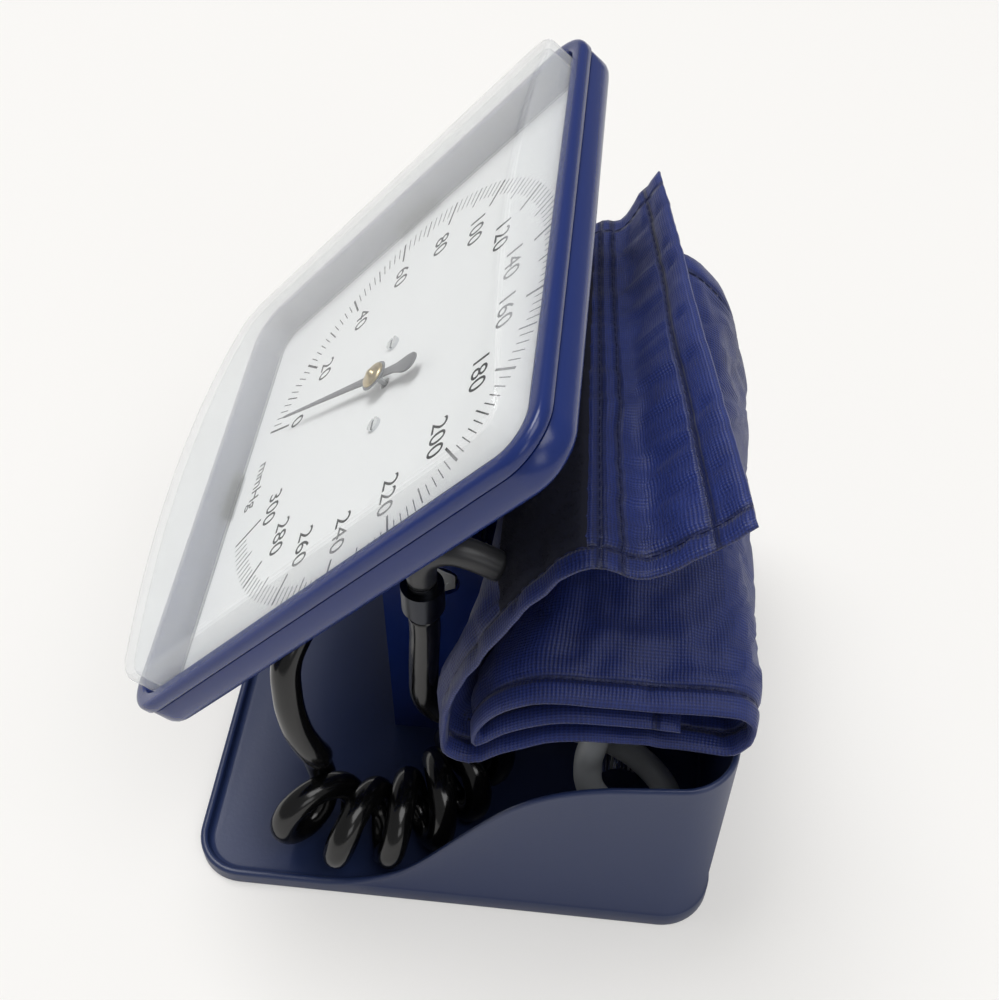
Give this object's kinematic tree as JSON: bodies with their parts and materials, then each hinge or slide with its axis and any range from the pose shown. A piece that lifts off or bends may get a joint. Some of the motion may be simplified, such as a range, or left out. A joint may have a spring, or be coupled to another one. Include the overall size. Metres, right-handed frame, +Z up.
{
  "type": "desk aneroid sphygmomanometer",
  "caption": "Desk aneroid blood-pressure gauge: big square tilting dial on a storage tray with S-curved sides, a coiled hose, a rolled arm cuff and its bulb.",
  "frame": {"origin": "centre of the tray's footprint, on its flat underside, at the desk's surface", "axes": "+Z up; -Y to the front, where the dial's reader sits; +X to the reader's right, the side of the coiled hose"},
  "size_m": [0.164, 0.1718, 0.2124],
  "materials": {
    "navy_plastic": "satin moulded",
    "grey_navy_plastic": "satin moulded",
    "clear_plastic": "clear polished plastic",
    "white_dial": "matt white with printed scale",
    "dark_paint": "satin",
    "brass": "machined",
    "steel": "machined",
    "chrome": "plated",
    "black_hose": "glossy",
    "grey_tube": "satin",
    "black_rubber": "satin",
    "washer_plastic": "matt",
    "navy_cloth": "woven twill",
    "hook_cloth": "hook tape"
  },
  "bodies": {
    "stand": {"tray": "grey_navy_plastic", "neck": "navy_plastic", "neck_screws": "steel", "hinge_bolt": "steel", "hinge_nut": "steel", "friction_washers": "washer_plastic", "coiled_hose": "black_hose", "cuff": "navy_cloth", "bladder": "black_rubber", "hook_tape": "hook_cloth", "cuff_tube_to_gauge": "grey_tube", "cuff_tube_to_bulb": "grey_tube", "tube_connector": "chrome", "bulb": "black_rubber", "intake_valve": "chrome", "release_valve": "chrome"},
    "head": {"bezel": "navy_plastic", "back_housing": "navy_plastic", "movement_cover": "navy_plastic", "cover_screws": "steel", "lens": "clear_plastic", "lens_clips": "clear_plastic", "dial_plate": "white_dial", "dial_screws": "chrome", "works_base_plate": "brass", "works_pillars": "brass", "works_bridge": "brass", "bridge_screws": "steel", "pressure_capsule": "brass", "rocker_stand": "brass", "hairspring": "steel", "inlet_nipple": "chrome", "pressure_tube": "brass", "hose_collar": "chrome"},
    "needle": {"pointer": "dark_paint", "pointer_hub": "brass", "pointer_staff": "steel"},
    "sector": {"sector_gear": "brass"},
    "rocker": {"rocker": "steel"},
    "pusher": {"capsule_pusher": "steel"},
    "screw": {"valve_screw": "chrome"}
  },
  "joints": [
    {"name": "head_tilt", "type": "hinge", "parent": "stand", "child": "head", "pos_m": [0, -0.008, 0.084], "axis": [1, 0, 0], "range_deg": [-3, 24], "deforming": ["coiled_hose"]},
    {"name": "pointer_spin", "type": "hinge", "parent": "head", "child": "needle", "pos_m": [0, -0.03017, 0.14904], "axis": [0, 0.7431, -0.6691], "range_deg": [0, 320]},
    {"name": "sector_swing", "type": "hinge", "parent": "head", "child": "sector", "pos_m": [0, -0.04824, 0.12898], "axis": [0, 0.7431, -0.6691], "range_deg": [-40, 0]},
    {"name": "rocker_swing", "type": "hinge", "parent": "head", "child": "rocker", "pos_m": [0, -0.02842, 0.11408], "axis": [1, 0, 0], "range_deg": [0, 16.3]},
    {"name": "capsule_push", "type": "slide", "parent": "head", "child": "pusher", "axis": [0, -0.7431, 0.6691], "range_m": [0, 0.00194], "stiffness_N_per_m": 40},
    {"name": "valve_turn", "type": "hinge", "parent": "stand", "child": "screw", "pos_m": [0.036, 0.05, 0.0263], "axis": [1, 0, 0], "range_deg": [0, 540]}
  ],
  "couplings": [
    {"joint": "pointer_spin", "follows": "capsule_push", "rad_per_m": 2881.3},
    {"joint": "sector_swing", "follows": "capsule_push", "rad_per_m": -360.16},
    {"joint": "rocker_swing", "follows": "capsule_push", "rad_per_m": 146.8}
  ]
}
